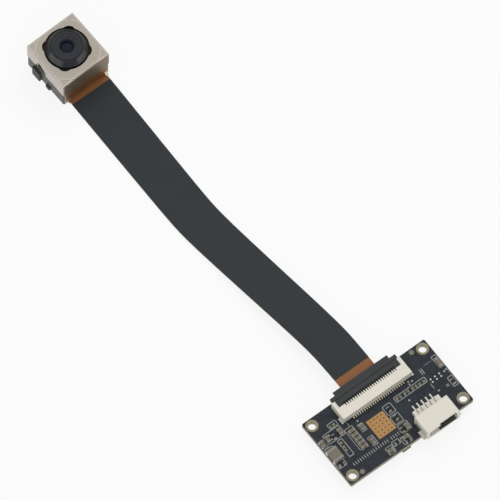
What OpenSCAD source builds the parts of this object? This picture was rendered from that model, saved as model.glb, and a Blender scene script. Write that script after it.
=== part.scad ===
// Camera module: an autofocus camera head on a flexible ribbon that plugs in a small circuit board.
// Millimetres. The origin is the centre of the board's four holes, on the board's underside.
// +X runs from the camera head to the board, +Y along the board's long side, +Z up.

/* [Circuit board] */
// Length of the board, along Y
board_l = 28.5; // [27.5:0.1:36]
// Width of the board, along X
board_w = 15.2; // [14.8:0.1:19]
// Thickness of the board
board_t = 1.0; // [0.8:0.1:1.6]
// Radius of the board's corners
board_corner_r = 0.3; // [0.1:0.1:0.8]
// Distance from a hole's centre to the two nearest edges
hole_inset = 1.4; // [1.3:0.1:1.8]
// Inner radius of the plated mounting holes
hole_r = 0.8; // [0.6:0.05:0.9]
// Radial width of the plated ring around each hole
ring_w = 0.42; // [0.2:0.02:0.45]
// Height of the tallest parts on the underside, which the board rests on
under_h = 1.2; // [1.1:0.1:1.6]

/* [Chip components] */
// Length of a large chip capacitor
cap_l = 1.3; // [1.2:0.1:1.5]
// Width of a large chip capacitor
cap_w = 0.75; // [0.7:0.02:0.9]
// Height of a large chip capacitor
cap_h = 0.7; // [0.4:0.05:0.9]
// Length of a small chip resistor
res_l = 1.05; // [0.8:0.05:1.2]
// Width of a small chip resistor
res_w = 0.55; // [0.4:0.05:0.6]
// Height of a small chip resistor
res_h = 0.4; // [0.25:0.05:0.5]
// Side of the processor's square package
processor_w = 8.6; // [7.5:0.1:9]
// Height of the processor's package
processor_h = 0.85; // [0.6:0.05:1.0]

/* [Ribbon socket] */
// Number of contacts
contacts_n = 24; // [20:1:26]
// Distance between neighbouring contacts
contact_pitch = 0.5; // [0.4:0.1:0.5]
// Height of the socket's housing above the board
socket_h = 1.9; // [1.85:0.05:2.3]
// Housing width beyond the row of contacts, both ends together
socket_extra_w = 4.35; // [4.2:0.05:5]
// Depth of the housing's solid rear block, along X
socket_block_l = 2.4; // [2.2:0.1:3]
// How far the latch's lip stands out past the edge of the board
lip_overhang = 1.1; // [0.9:0.1:1.4]
// Thickness of the flip latch
latch_t = 0.7; // [0.5:0.05:0.7]

/* [Wire socket] */
// Number of pins
pins_n = 5; // [3:1:6]
// Depth of the key slot in the roof's front edge
key_l = 0.35; // [0.2:0.05:0.8]
// Width of the key slot
key_w = 3.8; // [2:0.1:4]
// Place of the key slot along the housing, from its middle
key_y = 1.1; // [-1.1:0.1:1.1]
// Distance between neighbouring pins
pin_pitch = 1.0; // [0.9:0.1:1.0]
// Depth of the housing's tall part, along X
wire_socket_l = 4.2; // [3.8:0.1:5]
// Height of the housing
wire_socket_h = 2.9; // [2.6:0.1:3.4]
// Wall of the housing
wire_wall = 0.5; // [0.4:0.05:0.6]
// How far the housing stands out past the edge of the board
wire_overhang = 1.3; // [1.0:0.1:1.6]

/* [Ribbon] */
// Free length of the ribbon, from the head's face to the latch's lip, along X
ribbon_l = 77.9; // [60:0.1:100]
// Width of the ribbon at the head
ribbon_head_w = 8.85; // [8:0.05:9]
// Width of the ribbon at the board
ribbon_board_w = 7.9; // [7:0.05:8.6]
// Thickness of the ribbon's polyimide core
core_t = 0.14; // [0.1:0.01:0.16]
// Thickness of one black cover film
film_t = 0.05; // [0.03:0.01:0.06]
// Bare length of the ribbon beside the head
bare_head_l = 1.1; // [0.8:0.1:3]
// Bare length of the ribbon beside the latch
bare_board_l = 2.0; // [0.8:0.1:3]
// Distance from the head's face to the first bend
bend_1_from_head = 33.8; // [25:0.1:40]
// Distance from the latch's lip to the second bend
bend_2_from_lip = 8.8; // [6:0.1:12]

/* [Camera head] */
// Side of the square metal can
head_w = 11.0; // [10.8:0.1:13.2]
// Height of the head from its base to the top of the can
head_h = 8.4; // [8.2:0.1:9.2]
// Height of the plastic holder under the can
holder_h = 3.4; // [3.2:0.1:3.6]
// How far the can's lower edge stays above the holder
can_lift = 0.8; // [0.3:0.1:1.0]
// Wall of the can
can_t = 0.2; // [0.15:0.01:0.25]
// Turn of the head about its own axis, in degrees
head_turn = 1.9; // [0:0.1:3]
// Sideways shift of the head from the middle of the board
head_y = -4.8; // [-6:0.05:-4]
// Shift of the lens from the middle of the can, away from the ribbon
lens_shift = 0.3; // [0:0.05:0.35]
// Radius of the round opening in the top of the can
aperture_r = 4.28; // [4.2:0.02:4.4]
// Outer radius of the lens barrel
barrel_r = 3.95; // [3.8:0.01:3.95]
// How far the barrel's front stands above the can
barrel_proud = 1.5; // [1.0:0.1:2.0]
// Thickness of the steel plate under the head
plate_t = 0.2; // [0.15:0.01:0.25]
// Radial clearance of parts that fit inside one another
fit_gap = 0.02; // [0.01:0.01:0.04]
// Radial clearance of the latch's pivot pins
pivot_gap = 0.03; // [0.02:0.01:0.06]

/* [Hidden] */
$fn = 64;
E = 0.01;                                   // small overshoot of a cutting solid
floor_z = -under_h;                         // surface that the module stands on
foil_t = 0.05;                              // thickness of a copper pad
edge_x = board_w / 2;                       // board's edge, along X
edge_y = board_l / 2;
hole_x = edge_x - hole_inset;
hole_y = edge_y - hole_inset;
plating_t = 0.1;                            // wall of the plated barrel
via_r = 0.12;
via_pitch = 0.83;
pad_l = 4.3;                                // thermal pad, along X
pad_w = 3.9;                                // thermal pad, along Y
pad_at = [1.35, -2.55];
end_l = 0.3;                                // metal end of a large chip
res_end_l = 0.22;                           // metal end of a small chip

socket_y = 0.1;                             // middle of the ribbon socket, along Y
row_w = (contacts_n - 1) * contact_pitch;
socket_w = row_w + socket_extra_w;
arm_w = 0.75;
socket_floor_t = 0.3;
lip_x = -edge_x - lip_overhang;             // front of the latch's lip
lip_l = 0.8;
shoulder_l = 0.75;
pivot_x = lip_x + 2.75;
pivot_z = board_t + 1.05 + latch_t / 2;
pivot_r = 0.25;
block_x = pivot_x + latch_t / 2 + 0.1;      // front of the socket's rear block
block_end = block_x + socket_block_l;
arm_x = lip_x + lip_l + shoulder_l + 0.2;   // front of the socket's two arms
slot_w = 0.24;                              // slot that one contact lies in
contact_w = 0.2;
tail_l = 0.45;                              // contact tail behind the housing
tongue_w = row_w + 1.0;                     // wide end of the ribbon inside the socket
tongue_gap = 0.15;
tongue_end = block_x + 1.3;
ribbon_in_z = board_t + 0.55;               // underside of the ribbon's core in the socket
stiffener_t = 0.2;

wire_y = 6.3;                               // middle of the wire socket, along Y
pins_w = (pins_n - 1) * pin_pitch;
wire_socket_w = pins_w + 3.4;
wire_front = edge_x + wire_overhang;
wire_back = wire_front - wire_socket_l;
ledge_l = 1.5;                              // low rear ledge that carries the pins
ledge_h = 1.25;
pin_w = 0.3;
pin_t = 0.28;
pin_z = board_t + wire_socket_h / 2 - 0.1;
foot_l = 1.4;

head_face = lip_x - ribbon_l;               // head's face where the ribbon comes out
head_x = head_face - head_w / 2;
bend_1 = head_face + bend_1_from_head;
bend_2 = lip_x - bend_2_from_lip;
bend_soft = 3;                              // softness of the ribbon's two bends
ribbon_head_y = -4.4;
ribbon_board_y = -0.2;
ribbon_step = 2;
ribbon_n = floor((lip_x - head_face) / ribbon_step);
rise_start = bend_1 - 4;
core_z = floor_z + plate_t;                 // underside of the ribbon's core at the head

substrate_t = 0.36;
die_t = 0.25;
die_z = floor_z + plate_t + core_t + substrate_t;
holder_w = head_w - 0.2;
can_z = floor_z + holder_h + can_lift;         // lower edge of the can
can_top = floor_z + head_h;
can_corner_r = 0.25;
lobe_side = 7.4;                            // rounded square that widens the opening at its corners
lobe_r = 1.4;
corner_step = 0.12;                         // the can's corners lie lower than its middle
plateau_r = 6.15;
bevel = 0.28;
skirt_z = core_z + core_t + substrate_t + 0.05;
inner_w = head_w - 2 * can_t - 2 * fit_gap;
base_t = 1.1;
base_z = floor_z + holder_h;
spring_t = 0.05;
lower_spring_z = base_z + base_t;
upper_frame_t = 0.35;
upper_spring_z = can_top - can_t - upper_frame_t - spring_t;
carrier_r = barrel_r + fit_gap;
carrier_t = 0.3;
coil_t = 0.28;
coil_r = carrier_r + carrier_t;
magnet_at = coil_r + coil_t + 0.3;          // inner face of a magnet, on the diagonal
magnet_z = lower_spring_z + 0.45;
spring_in_r = carrier_r + 0.03;
spring_mid_r = coil_r + 0.05;
spring_out_r = coil_r + 0.5;
barrel_top = can_top + barrel_proud;
barrel_low = floor_z + 2.9;
barrel_low_r = barrel_r - 0.75;
wall = 0.35;                                // barrel wall at its lower end
front_z = barrel_top - 0.85;                // seat of the front lens
lens_pitch = 1.28;
lens_t = 1.08;

// ---------- placing ----------

function from_left(d) = -edge_y + d;
function from_right(d) = edge_y - d;

// Places on the board's top: [x, y, turn]. A turn of 0 lays a chip along X.
large_chips = [
    [-0.86, -7.7, 90], [0.12, -7.68, 90], [1.1, -7.65, 90], [2.05, -7.65, 90], [3.0, -7.65, 90],
    [-0.3, -5.77, 0], [3.1, -5.8, 0],
    [-1.95, from_left(0.58), 0], [-2.2, from_left(1.95), 0], [-2.1, from_left(4.75), 0],
    [4.55, 1.07, 0], [6.1, -0.45, 90], [6.6, -4.3, 90]
];
small_chips = [
    [-1.95, from_left(3.3), 0], [3.35, from_left(1.1), 90],
    [-0.2, 0.5, 0], [1.85, 0.55, 0], [4.6, -0.05, 0], [6.05, -2.3, 90], [6.95, -0.45, 90],
    [-0.95, 3.32, 90], [-0.95, 5.1, 90], [-0.9, 6.9, 90], [2.45, from_right(0.87), 0]
];
inductor_at = [1.12, from_left(1.2)];
inductor_size = [2.75, 2.15, 0.9];
bead_at = [-2.15, from_right(0.7)];
bead_size = [2.05, 0.85, 0.6];
spare_pads = [
    [-4.05, from_left(4.75)], [-4.0, from_left(3.85)],
    [-0.25, from_left(3.57)], [0.7, from_left(3.5)], [1.45, from_left(3.45)],
    [3.1, 0.45], [-0.85, 8.1], [-0.85, 9.1], [2.45, from_right(2.1)]
];
test_dots = [for (x = [-0.4, 0.25], d = [1.95, 2.95, 3.95]) [x, from_right(d)]];
fiducials = [[-edge_x + 0.75, from_right(3.5)], [edge_x - 0.9, from_left(3.3)]];

// Places on the underside: [x, y, turn]
under_inductors = [
    [edge_x - 0.75, -1.2, 90], [-edge_x + 2.3, from_left(5.2), 90], [-edge_x + 2.3, from_right(5.2), 90]
];
under_inductor_size = [1.8, 1.4, under_h];
under_chips = [
    [-5.0, -3.2, 0], [-5.0, -1.8, 0], [-5.0, -0.4, 0], [-5.0, 1.0, 0], [-5.0, 2.4, 0],
    [6.0, -6.5, 90], [6.0, 3.6, 90], [6.0, 5.6, 90],
    [1.5, from_left(3.6), 0], [3.0, from_left(3.6), 90]
];
processor_at = [0.6, -1.0];
memory_size = [5.0, 4.4, 0.8];
memory_at = [1.0, from_right(4.4)];
crystal_size = [2.5, 2.0, 0.7];
crystal_at = [-1.6, from_left(4.4)];

module on_top(p) { translate([p[0], p[1], board_t]) rotate(p[2]) children(); }
module underneath(p) { translate([p[0], p[1], 0]) mirror([0, 0, 1]) rotate(p[2]) children(); }
module at_head() { translate([head_x, head_y, 0]) rotate(head_turn) children(); }
module at_lens() { at_head() translate([-lens_shift, 0, 0]) children(); }
module at_wire_socket() { translate([0, wire_y, board_t]) children(); }

// ---------- simple shapes ----------

// Block that stands on z = 0, centred in plan
module block(size) { translate([-size[0] / 2, -size[1] / 2, 0]) cube(size); }

// Plan outline of a square or rectangle with round corners
module round_rect(l, w, r) {
    square([l - 2 * r, w], center = true);
    square([l, w - 2 * r], center = true);
    for (sx = [-1, 1], sy = [-1, 1])
        translate([sx * (l / 2 - r), sy * (w / 2 - r)]) circle(r = r);
}

// Rounded rectangular slab from z0 to z1
module slab(l, w, r, z0, z1) { translate([0, 0, z0]) linear_extrude(z1 - z0) round_rect(l, w, r); }

// Ring between two radii, from z0 to z1
module ring(r_in, r_out, z0, z1) {
    translate([0, 0, z0]) difference() {
        cylinder(r = r_out, h = z1 - z0);
        translate([0, 0, -E]) cylinder(r = r_in, h = z1 - z0 + 2 * E);
    }
}

module chip_middle(l, w, h, end) { block([l - 2 * end, w, h]); }

module chip_ends(l, w, h, end) {
    for (s = [-1, 1]) translate([s * (l - end) / 2, 0, 0]) block([end, w, h]);
}

// ---------- circuit board ----------

module board_hole_places() {
    for (sx = [-1, 1], sy = [-1, 1]) translate([sx * hole_x, sy * hole_y, 0]) children();
}

module via_places() {
    translate([pad_at[0], pad_at[1], 0])
        for (i = [-2:2], j = [-1.5:1.5]) translate([i * via_pitch, j * via_pitch, 0]) children();
}

module circuit_board() {
    color([0.09, 0.10, 0.13]) difference() {
        slab(board_w, board_l, board_corner_r, 0, board_t);
        board_hole_places()
            translate([0, 0, -E]) cylinder(r = hole_r + plating_t, h = board_t + 2 * E);
        via_places() translate([0, 0, -E]) cylinder(r = via_r, h = board_t + 2 * E);
    }
}

module hole_plating() {
    color([0.76, 0.72, 0.6]) board_hole_places() {
        ring(hole_r, hole_r + plating_t, 0, board_t);
        ring(hole_r, hole_r + ring_w, board_t, board_t + foil_t);
        ring(hole_r, hole_r + ring_w, -foil_t, 0);
    }
}

module thermal_pad() {
    color([0.72, 0.52, 0.32]) difference() {
        translate([pad_at[0], pad_at[1], board_t]) block([pad_l, pad_w, foil_t]);
        via_places() translate([0, 0, board_t - E]) cylinder(r = via_r, h = foil_t + 2 * E);
    }
}

module solder_pads() {
    color([0.7, 0.68, 0.6]) {
        for (p = spare_pads) translate([p[0], p[1], board_t]) block([0.55, 0.6, foil_t]);
        for (p = test_dots) translate([p[0], p[1], board_t]) cylinder(r = 0.2, h = foil_t);
        for (p = fiducials) translate([p[0], p[1], board_t]) cylinder(r = 0.5, h = foil_t);
    }
}

// ---------- components on the top ----------

module large_chip_bodies() {
    color([0.55, 0.49, 0.41]) for (p = large_chips) on_top(p) chip_middle(cap_l, cap_w, cap_h, end_l);
}

module large_chip_ends() {
    color([0.72, 0.7, 0.66]) for (p = large_chips) on_top(p) chip_ends(cap_l, cap_w, cap_h, end_l);
}

module small_chip_bodies() {
    color([0.1, 0.1, 0.11]) for (p = small_chips) on_top(p) chip_middle(res_l, res_w, res_h, res_end_l);
}

module small_chip_ends() {
    color([0.75, 0.74, 0.7]) for (p = small_chips) on_top(p) chip_ends(res_l, res_w, res_h, res_end_l);
}

module inductor_body() {
    color([0.5, 0.45, 0.4]) on_top([inductor_at[0], inductor_at[1], 0])
        chip_middle(inductor_size[0], inductor_size[1], inductor_size[2], 0.5);
}

module inductor_ends() {
    color([0.66, 0.64, 0.6]) on_top([inductor_at[0], inductor_at[1], 0])
        chip_ends(inductor_size[0], inductor_size[1], inductor_size[2], 0.5);
}

module ferrite_bead_body() {
    color([0.42, 0.38, 0.38]) on_top([bead_at[0], bead_at[1], 0])
        chip_middle(bead_size[0], bead_size[1], bead_size[2], 0.5);
}

module ferrite_bead_ends() {
    color([0.7, 0.69, 0.65]) on_top([bead_at[0], bead_at[1], 0])
        chip_ends(bead_size[0], bead_size[1], bead_size[2], 0.5);
}

// ---------- components on the underside ----------

module processor() {
    color([0.12, 0.12, 0.13]) underneath([processor_at[0], processor_at[1], 0])
        translate([0, 0, 0.02]) block([processor_w, processor_w, processor_h]);
}

// Flat leads that stand a little past the package on its four sides
module processor_leads() {
    color([0.74, 0.72, 0.66]) underneath([processor_at[0], processor_at[1], 0])
        for (side = [0:3], i = [-6:6])
            rotate(side * 90)
                translate([processor_w / 2, i * 0.55 - 0.12, 0]) cube([0.3, 0.24, 0.2]);
}

module memory_chip() {
    color([0.12, 0.12, 0.13]) underneath([memory_at[0], memory_at[1], 0])
        translate([0, 0, 0.08]) block(memory_size);
}

module memory_leads() {
    color([0.74, 0.72, 0.66]) underneath([memory_at[0], memory_at[1], 0])
        for (s = [0, 1], i = [-1.5:1.5]) rotate(s * 180)
            translate([i * 1.2, memory_size[1] / 2, 0]) {
                translate([-0.18, 0, 0]) cube([0.36, 0.7, 0.1]);
                translate([-0.18, 0, 0.1]) cube([0.36, 0.15, 0.35]);
            }
}

module crystal() {
    color([0.75, 0.75, 0.74]) underneath([crystal_at[0], crystal_at[1], 0])
        slab(crystal_size[0], crystal_size[1], 0.25, 0, crystal_size[2]);
}

module underside_inductors() {
    color([0.42, 0.38, 0.33]) for (p = under_inductors) underneath(p) block(under_inductor_size);
}

module underside_chip_bodies() {
    color([0.55, 0.49, 0.41]) for (p = under_chips)
        underneath(p) chip_middle(res_l, res_w, res_h, res_end_l);
}

module underside_chip_ends() {
    color([0.75, 0.74, 0.7]) for (p = under_chips) underneath(p) chip_ends(res_l, res_w, res_h, res_end_l);
}

// ---------- ribbon socket with its flip latch ----------

module at_contacts() {
    for (i = [0:contacts_n - 1])
        translate([0, socket_y - row_w / 2 + i * contact_pitch, 0]) children();
}

// Box given by its low corner and size, centred on the socket along Y
module socket_box(x0, x1, w, z0, z1) {
    translate([x0, socket_y - w / 2, board_t + z0]) cube([x1 - x0, w, z1 - z0]);
}

module ribbon_socket_housing() {
    color([0.9, 0.88, 0.84]) difference() {
        union() {
            socket_box(block_x, block_end, socket_w, 0, socket_h);
            socket_box(arm_x, block_x + E, socket_w, 0, socket_floor_t);
            for (s = [-1, 1]) translate([0, s * (socket_w - arm_w) / 2, 0])
                socket_box(arm_x, block_x + E, arm_w, 0, socket_h);
        }
        // room for the ribbon's wide end and the contacts' beams
        socket_box(block_x - E, block_end - 0.5, tongue_w + 2 * tongue_gap,
                   socket_floor_t, socket_h - 0.35);
        // comb of slots along the top edge, and the slots that the contacts' feet leave by
        at_contacts() {
            translate([block_x - E, -slot_w / 2, board_t + socket_h - 0.35 - E]) cube([0.5, slot_w, 0.4]);
            translate([block_end - 0.65, -slot_w / 2, board_t - E]) cube([0.65 + E, slot_w, 0.55]);
        }
        // bearing holes for the latch's pivot pins
        translate([pivot_x, socket_y, pivot_z]) rotate([90, 0, 0])
            cylinder(r = pivot_r + pivot_gap, h = socket_w - arm_w, center = true);
    }
}

module ribbon_socket_latch() {
    inner_w = socket_w - 2 * arm_w - 0.1;
    bottom = pivot_z - board_t - latch_t / 2;
    top = bottom + latch_t;
    color([0.1, 0.105, 0.125]) difference() {
        union() {
            socket_box(pivot_x - 2.75 + lip_l, pivot_x, inner_w, bottom, top);
            socket_box(lip_x + lip_l, lip_x + lip_l + shoulder_l, socket_w - arm_w, bottom, top);
            socket_box(lip_x, lip_x + lip_l + E, tongue_w, bottom, top - 0.15);
            translate([pivot_x, socket_y, pivot_z]) rotate([90, 0, 0]) {
                cylinder(r = latch_t / 2, h = inner_w, center = true);
                cylinder(r = pivot_r, h = socket_w - arm_w - 0.1, center = true);
            }
        }
        // finger groove along the top
        socket_box(lip_x + lip_l + 0.75, lip_x + lip_l + 0.9, inner_w - 0.8, top - 0.12, top + E);
        // comb along the rear edge
        at_contacts() translate([pivot_x - 0.12, -slot_w / 2, pivot_z + 0.05]) cube([0.6, slot_w, latch_t]);
    }
}

// One contact: lower beam, upright spine and upper beam, with a tail behind the housing
module contact_outline() {
    spine = block_end - 0.9;
    polygon([
        [block_x - 0.35, socket_floor_t + 0.02], [spine + 0.3, socket_floor_t + 0.02],
        [spine + 0.3, 0], [block_end + tail_l, 0], [block_end + tail_l, 0.16],
        [block_end, 0.22], [block_end - 0.3, 0.5], [spine + 0.3, 0.5],
        [spine + 0.3, socket_h - 0.4], [block_x + 0.15, socket_h - 0.4], [block_x + 0.15, socket_h - 0.6],
        [spine, socket_h - 0.6], [spine, socket_floor_t + 0.16], [block_x - 0.35, socket_floor_t + 0.16]
    ]);
}

module ribbon_socket_contacts() {
    color([0.72, 0.66, 0.5]) at_contacts() translate([0, contact_w / 2, board_t]) rotate([90, 0, 0])
        linear_extrude(contact_w) contact_outline();
}

module ribbon_socket_tabs() {
    color([0.72, 0.7, 0.62]) translate([0, socket_y, board_t]) for (s = [-1, 1]) scale([1, s, 1]) {
        translate([block_end - 1.3, socket_w / 2, 0]) cube([1.4, 0.38, 0.15]);
        translate([block_end - 1.3, socket_w / 2, 0.15]) cube([1.1, 0.12, 0.7]);
    }
}

// ---------- wire socket ----------

module at_pins() {
    at_wire_socket() for (i = [0:pins_n - 1]) translate([0, -pins_w / 2 + i * pin_pitch, 0]) children();
}

module wire_socket_housing() {
    mouth_w = wire_socket_w - 2 * wire_wall;
    color([0.9, 0.88, 0.83]) difference() {
        at_wire_socket() union() {
            translate([wire_back, -wire_socket_w / 2, 0])
                cube([wire_socket_l, wire_socket_w, wire_socket_h]);
            translate([wire_back - ledge_l, -wire_socket_w / 2 + 0.7, 0])
                cube([ledge_l + E, wire_socket_w - 1.4, ledge_h]);
        }
        at_wire_socket() {
            // mouth that the plug enters, with its key slot in the roof
            translate([wire_back + 1.1, -mouth_w / 2, wire_wall])
                cube([wire_socket_l, mouth_w, wire_socket_h - 2 * wire_wall]);
            translate([wire_front - key_l, key_y - key_w / 2, wire_socket_h - wire_wall - E])
                cube([1, key_w, 1]);
            // chamfer along the roof's rear edge
            translate([wire_back, 0, wire_socket_h]) rotate([0, 45, 0])
                cube([0.3, wire_socket_w + 1, 0.3], center = true);
        }
        // slots for the pins through the rear wall and down the ledge
        at_pins() {
            translate([wire_back - ledge_l - E, -pin_w / 2 - 0.02, -E])
                cube([0.62, pin_w + 0.04, ledge_h + 1]);
            translate([wire_back - ledge_l, -pin_w / 2 - 0.02, pin_z - board_t - 0.02])
                cube([ledge_l + 1.2, pin_w + 0.04, pin_t + 0.04]);
        }
    }
}

// One pin: blade inside the mouth, drop behind the ledge and foot on the board
module pin_outline() {
    drop = wire_back - ledge_l + 0.05;
    blade_z = pin_z - board_t;
    polygon([
        [drop - foot_l, 0], [drop + 0.3, 0], [drop + 0.3, blade_z], [wire_front - 0.9, blade_z],
        [wire_front - 0.75, blade_z + pin_t / 2], [wire_front - 0.9, blade_z + pin_t],
        [drop, blade_z + pin_t], [drop, 0.22], [drop - foot_l, 0.22]
    ]);
}

module wire_socket_pins() {
    color([0.74, 0.7, 0.6]) at_pins() translate([0, pin_w / 2, 0]) rotate([90, 0, 0])
        linear_extrude(pin_w) pin_outline();
}

module wire_socket_tabs() {
    color([0.6, 0.58, 0.52]) at_wire_socket() for (s = [-1, 1]) scale([1, s, 1]) {
        translate([wire_front - 3.4, wire_socket_w / 2, 0]) cube([3.1, 0.15, 1.7]);
        translate([wire_front - 2.2, wire_socket_w / 2 + 0.15, 0]) cube([1.9, 0.5, 0.15]);
    }
}

// ---------- ribbon ----------

// Grows from 0 before a to b - a after b, with soft corners
function soft_ramp(x, a, b) =
    (sqrt(pow(x - a, 2) + pow(bend_soft, 2)) - sqrt(pow(x - b, 2) + pow(bend_soft, 2)) + (b - a)) / 2;
function along(x) = (x - head_face) / (lip_x - head_face);
function ribbon_y(x) = ribbon_head_y
    + (ribbon_board_y - ribbon_head_y) * soft_ramp(x, bend_1, bend_2) / (bend_2 - bend_1);
function ribbon_half(x) = (ribbon_head_w + (ribbon_board_w - ribbon_head_w) * along(x)) / 2;
function eased(t) = (1 - cos(180 * min(max(t, 0), 1))) / 2;
function ribbon_z(x) = core_z + (ribbon_in_z - core_z) * eased((x - rise_start) / (lip_x - rise_start));

// Stations along the ribbon between two places, and the two places themselves
function stations(x0, x1) = concat(
    [x0],
    [for (i = [-6:ribbon_n + 6]) let (x = head_face + i * ribbon_step) if (x > x0 + 0.2 && x < x1 - 0.2) x],
    [x1]
);
function reversed(list) = [for (i = [len(list) - 1:-1:0]) list[i]];

module ribbon_plan(x0, x1) {
    xs = stations(x0, x1);
    polygon(concat(
        [for (x = xs) [x, ribbon_y(x) - ribbon_half(x)]],
        [for (x = reversed(xs)) [x, ribbon_y(x) + ribbon_half(x)]]
    ));
}

// Layer of the ribbon: its plan, cut to a thin sheet that follows the ribbon's rise
module ribbon_sheet(x0, x1, offset_z, thickness) {
    xs = stations(x0, x1);
    intersection() {
        translate([0, 0, floor_z - 1]) linear_extrude(under_h + board_t + 4) children();
        rotate([90, 0, 0]) linear_extrude(board_l * 2, center = true) polygon(concat(
            [for (x = xs) [x, ribbon_z(x) + offset_z]],
            [for (x = reversed(xs)) [x, ribbon_z(x) + offset_z + thickness]]
        ));
    }
}

module ribbon_core() {
    color([0.42, 0.24, 0.12]) ribbon_sheet(head_x - head_w / 2, tongue_end, 0, core_t) {
        ribbon_plan(head_face - 2, lip_x + 0.5);
        translate([lip_x + 0.4, socket_y - tongue_w / 2]) square([tongue_end - lip_x - 0.4, tongue_w]);
        translate([head_x, head_y]) rotate(head_turn)
            translate([-holder_w / 2 + 0.35, -holder_w / 2 + 0.35])
                square([holder_w - 0.9, holder_w - 0.7]);
    }
}

module ribbon_top_film() {
    color([0.19, 0.21, 0.22])
        ribbon_sheet(head_face + bare_head_l, lip_x - bare_board_l, core_t, film_t)
            ribbon_plan(head_face + bare_head_l, lip_x - bare_board_l);
}

module ribbon_bottom_film() {
    color([0.19, 0.21, 0.22])
        ribbon_sheet(head_face + bare_head_l, lip_x - bare_board_l, -film_t, film_t)
            ribbon_plan(head_face + bare_head_l, lip_x - bare_board_l);
}

module ribbon_stiffener() {
    color([0.5, 0.3, 0.14])
        translate([lip_x + 0.6, socket_y - tongue_w / 2, ribbon_in_z + core_t])
            cube([tongue_end - lip_x - 0.6, tongue_w, stiffener_t]);
}

module ribbon_fingers() {
    color([0.8, 0.64, 0.3]) at_contacts()
        translate([tongue_end - 2.4, -0.15, ribbon_in_z - 0.03]) cube([2.4, 0.3, 0.03]);
}

// ---------- base of the camera head ----------

module head_plate() {
    color([0.62, 0.62, 0.6]) at_head() slab(holder_w, holder_w, 0.3, floor_z, floor_z + plate_t);
}

module sensor_substrate() {
    side = holder_w - 0.8;
    color([0.16, 0.3, 0.2]) at_head()
        translate([-0.05, 0, core_z + core_t]) block([side, side, substrate_t]);
}

module image_sensor() {
    color([0.2, 0.2, 0.26]) at_lens() translate([0, 0, die_z]) block([6.4, 5.2, die_t]);
}

module sensor_holder() {
    filter_z = floor_z + 1.9;
    top = floor_z + holder_h;
    color([0.3, 0.31, 0.3]) at_head() difference() {
        union() {
            slab(holder_w, holder_w, 0.3, core_z, top);
            // locating boss and clip nub on one side
            translate([-holder_w / 2 + 2.2, -holder_w / 2 - 0.65, core_z + 0.15])
                cube([2.1, 1, holder_h - plate_t - 0.15]);
            translate([-holder_w / 2 + 5.9, -holder_w / 2 - 0.4, core_z + 0.1]) cube([1, 0.6, 1.1]);
        }
        // bore for the barrel's lower end, filter seat, light window, sensor room and substrate pocket
        translate([-lens_shift, 0, filter_z]) {
            translate([0, 0, 0.3]) cylinder(r = barrel_low_r + 0.3, h = holder_h);
            block([6.7, 5.7, 1]);
            translate([0, 0, -0.6]) block([5.6, 4.6, 1]);
        }
        translate([-lens_shift, 0, die_z - E]) block([7.8, 7.2, 0.75]);
        translate([-holder_w / 2 + 0.33, -holder_w / 2 + 0.33, core_z - E])
            cube([holder_w, holder_w - 0.66, core_t + substrate_t + E]);
        // the can's skirt hangs over the side that the ribbon leaves by
        translate([head_w / 2 - can_t - 0.05, -head_w, core_z - E]) cube([1, 2 * head_w, holder_h + 1]);
        // recesses for the two coil terminals
        for (s = [-1, 1])
            translate([-holder_w / 2 - E, s * 2.6 - 0.4, core_z - E]) cube([0.16, 0.8, holder_h]);
    }
}

module infrared_filter() {
    color([0.5, 0.7, 0.75, 0.6]) at_lens() translate([0, 0, floor_z + 1.9]) block([6.6, 5.6, 0.28]);
}

// ---------- metal can ----------

// Box with bevelled upper edges and round upright edges
module bevelled_box(w, z0, z1, cut) {
    intersection() {
        slab(w, w, can_corner_r, z0, z1);
        rotate([90, 0, 0]) linear_extrude(2 * w, center = true) bevelled_outline(w, z0, z1, cut);
        rotate([90, 0, 90]) linear_extrude(2 * w, center = true) bevelled_outline(w, z0, z1, cut);
    }
}

module bevelled_outline(w, z0, z1, cut) {
    polygon([
        [-w / 2, z0], [w / 2, z0], [w / 2, z1 - cut], [w / 2 - cut * 0.35, z1 - cut * 0.35],
        [w / 2 - cut, z1], [cut - w / 2, z1], [cut * 0.35 - w / 2, z1 - cut * 0.35], [-w / 2, z1 - cut]
    ]);
}

module shield_can() {
    color([0.72, 0.70, 0.65]) at_head() difference() {
        union() {
            bevelled_box(head_w, can_z, can_top - corner_step, bevel);
            // raised round middle of the top
            intersection() {
                translate([0, 0, can_top - 1]) cylinder(r = plateau_r, h = 1);
                bevelled_box(head_w, can_top - 1, can_top, bevel + corner_step);
            }
            // skirt over the side that the ribbon leaves by
            translate([head_w / 2 - can_t, -head_w / 2 + 0.35, skirt_z])
                cube([can_t, head_w - 0.7, can_z - skirt_z + 0.5]);
        }
        slab(head_w - 2 * can_t, head_w - 2 * can_t, 0.1, can_z - 1, can_top - can_t);
        // round opening with four small lobes towards the corners
        translate([-lens_shift, 0, can_top - 2]) {
            cylinder(r = aperture_r, h = 3);
            linear_extrude(3) round_rect(lobe_side, lobe_side, lobe_r);
        }
        // notch beside the locating boss
        translate([-head_w / 2 + 3.3, -head_w / 2 - E, can_z - 1]) rotate([90, 0, 0])
            translate([0, 0, -can_t - 0.1]) linear_extrude(can_t + 0.2)
                polygon([[0, 0], [2.3, 0], [2.3, 1.9], [0.9, 3.3], [0, 3.3]]);
    }
}

module can_solder() {
    color([0.8, 0.79, 0.75]) at_head() for (y = [-4.15, 4.6])
        translate([head_w / 2, y, core_z + core_t]) rotate([90, 0, 0])
            linear_extrude(0.7, center = true) polygon([[0, 0], [0.45, 0], [0.2, 0.45], [0, 0.95]]);
}

module coil_terminals() {
    color([0.76, 0.7, 0.55]) at_head() for (s = [-1, 1])
        translate([-holder_w / 2, s * 2.6 - 0.3, core_z + core_t + 0.05]) cube([0.12, 0.6, holder_h - 0.6]);
}

// ---------- focus actuator ----------

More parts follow.
